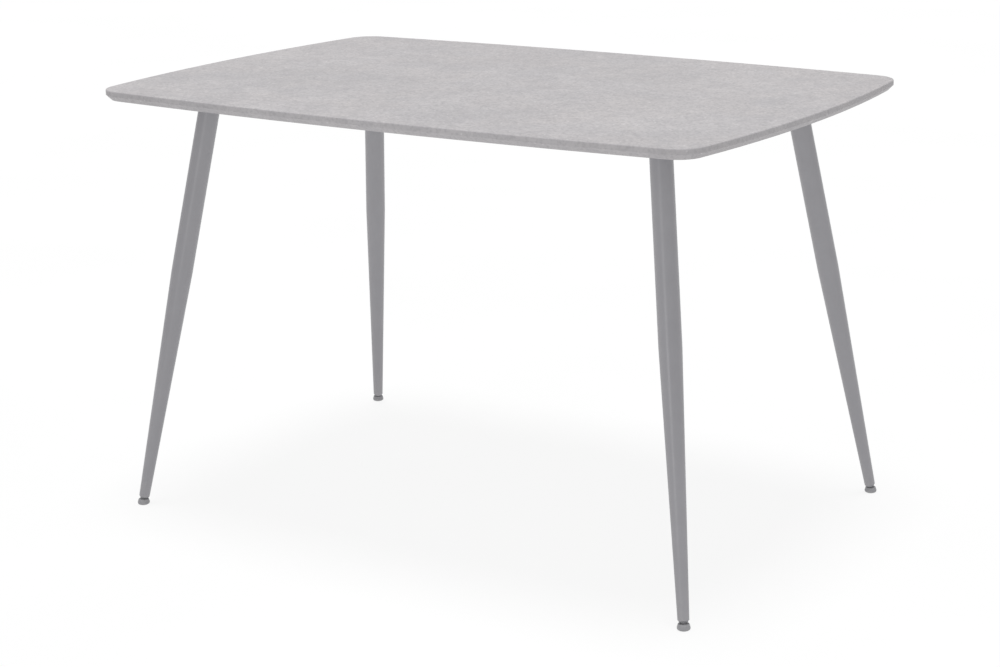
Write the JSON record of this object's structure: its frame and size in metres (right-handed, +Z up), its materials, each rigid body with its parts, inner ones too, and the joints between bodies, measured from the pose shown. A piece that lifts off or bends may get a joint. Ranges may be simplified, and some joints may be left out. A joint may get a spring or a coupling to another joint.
{
  "type": "dining table",
  "caption": "Rectangular dining table with a thin concrete-look top, bowed sides, an undercut rim, and splayed, tapered round tube legs on screw-adjustable swivel feet.",
  "frame": {"origin": "on the floor, under the middle of the tabletop", "axes": "+X along the table's length, +Y across its width towards the back, +Z up"},
  "size_m": [1.1998, 0.8, 0.75],
  "materials": {
    "concrete_decor": "matt printed decor film with a pale grey concrete look",
    "mdf": "raw medium-density fibreboard",
    "backing_paper": "plain pale grey balancing sheet, matt",
    "leg_powder_coat": "satin mid-grey powder coat on steel tube",
    "plate_powder_coat": "satin mid-grey powder coat on steel plate",
    "zinc_steel": "bright zinc-plated steel",
    "foot_plastic": "mid-grey moulded nylon",
    "pad_rubber": "grey soft non-marking pad"
  },
  "bodies": {
    "table": {"decor_film": "concrete_decor", "tabletop_core": "mdf", "backing_sheet": "backing_paper", "front_left_leg_tube": "leg_powder_coat", "front_left_mounting_plate": "plate_powder_coat", "front_left_weld_bead": "plate_powder_coat", "front_left_plate_screws": "zinc_steel", "front_left_plate_washers": "zinc_steel", "front_left_threaded_inserts": "zinc_steel", "front_left_leg_nut": "zinc_steel", "front_right_leg_tube": "leg_powder_coat", "front_right_mounting_plate": "plate_powder_coat", "front_right_weld_bead": "plate_powder_coat", "front_right_plate_screws": "zinc_steel", "front_right_plate_washers": "zinc_steel", "front_right_threaded_inserts": "zinc_steel", "front_right_leg_nut": "zinc_steel", "back_left_leg_tube": "leg_powder_coat", "back_left_mounting_plate": "plate_powder_coat", "back_left_weld_bead": "plate_powder_coat", "back_left_plate_screws": "zinc_steel", "back_left_plate_washers": "zinc_steel", "back_left_threaded_inserts": "zinc_steel", "back_left_leg_nut": "zinc_steel", "back_right_leg_tube": "leg_powder_coat", "back_right_mounting_plate": "plate_powder_coat", "back_right_weld_bead": "plate_powder_coat", "back_right_plate_screws": "zinc_steel", "back_right_plate_washers": "zinc_steel", "back_right_threaded_inserts": "zinc_steel", "back_right_leg_nut": "zinc_steel"},
    "front_left_ring": {"front_left_neck_ring": "foot_plastic"},
    "front_left_stem": {"front_left_ball_stem": "zinc_steel"},
    "front_left_foot": {"front_left_swivel_foot": "foot_plastic", "front_left_foot_pad": "pad_rubber"},
    "front_right_ring": {"front_right_neck_ring": "foot_plastic"},
    "front_right_stem": {"front_right_ball_stem": "zinc_steel"},
    "front_right_foot": {"front_right_swivel_foot": "foot_plastic", "front_right_foot_pad": "pad_rubber"},
    "back_left_ring": {"back_left_neck_ring": "foot_plastic"},
    "back_left_stem": {"back_left_ball_stem": "zinc_steel"},
    "back_left_foot": {"back_left_swivel_foot": "foot_plastic", "back_left_foot_pad": "pad_rubber"},
    "back_right_ring": {"back_right_neck_ring": "foot_plastic"},
    "back_right_stem": {"back_right_ball_stem": "zinc_steel"},
    "back_right_foot": {"back_right_swivel_foot": "foot_plastic", "back_right_foot_pad": "pad_rubber"}
  },
  "joints": [
    {"name": "front_left_level_slide", "type": "slide", "parent": "table", "child": "front_left_ring", "axis": [-0.1423, -0.1585, -0.977], "range_m": [0, 0.01]},
    {"name": "front_left_stem_spin", "type": "hinge", "parent": "front_left_ring", "child": "front_left_stem", "pos_m": [-0.549, -0.35, 0.007], "axis": [-0.1423, -0.1585, -0.977], "range_deg": [0, 2880]},
    {"name": "front_left_foot_swivel", "type": "hinge", "parent": "front_left_ring", "child": "front_left_foot", "pos_m": [-0.549, -0.35, 0.007], "axis": [-0.7442, 0.6679, 0], "range_deg": [-4.7, 29.2]},
    {"name": "front_right_level_slide", "type": "slide", "parent": "table", "child": "front_right_ring", "axis": [0.1423, -0.1585, -0.977], "range_m": [0, 0.01]},
    {"name": "front_right_stem_spin", "type": "hinge", "parent": "front_right_ring", "child": "front_right_stem", "pos_m": [0.549, -0.35, 0.007], "axis": [0.1423, -0.1585, -0.977], "range_deg": [0, 2880]},
    {"name": "front_right_foot_swivel", "type": "hinge", "parent": "front_right_ring", "child": "front_right_foot", "pos_m": [0.549, -0.35, 0.007], "axis": [-0.7442, -0.6679, 0], "range_deg": [-4.7, 29.2]},
    {"name": "back_left_level_slide", "type": "slide", "parent": "table", "child": "back_left_ring", "axis": [-0.1423, 0.1585, -0.977], "range_m": [0, 0.01]},
    {"name": "back_left_stem_spin", "type": "hinge", "parent": "back_left_ring", "child": "back_left_stem", "pos_m": [-0.549, 0.35, 0.007], "axis": [-0.1423, 0.1585, -0.977], "range_deg": [0, 2880]},
    {"name": "back_left_foot_swivel", "type": "hinge", "parent": "back_left_ring", "child": "back_left_foot", "pos_m": [-0.549, 0.35, 0.007], "axis": [0.7442, 0.6679, 0], "range_deg": [-4.7, 29.2]},
    {"name": "back_right_level_slide", "type": "slide", "parent": "table", "child": "back_right_ring", "axis": [0.1423, 0.1585, -0.977], "range_m": [0, 0.01]},
    {"name": "back_right_stem_spin", "type": "hinge", "parent": "back_right_ring", "child": "back_right_stem", "pos_m": [0.549, 0.35, 0.007], "axis": [0.1423, 0.1585, -0.977], "range_deg": [0, 2880]},
    {"name": "back_right_foot_swivel", "type": "hinge", "parent": "back_right_ring", "child": "back_right_foot", "pos_m": [0.549, 0.35, 0.007], "axis": [0.7442, -0.6679, 0], "range_deg": [-4.7, 29.2]}
  ],
  "couplings": [
    {"joint": "front_left_stem_spin", "follows": "front_left_level_slide", "rad_per_m": 5026.5},
    {"joint": "front_right_stem_spin", "follows": "front_right_level_slide", "rad_per_m": 5026.5},
    {"joint": "back_left_stem_spin", "follows": "back_left_level_slide", "rad_per_m": 5026.5},
    {"joint": "back_right_stem_spin", "follows": "back_right_level_slide", "rad_per_m": 5026.5}
  ]
}
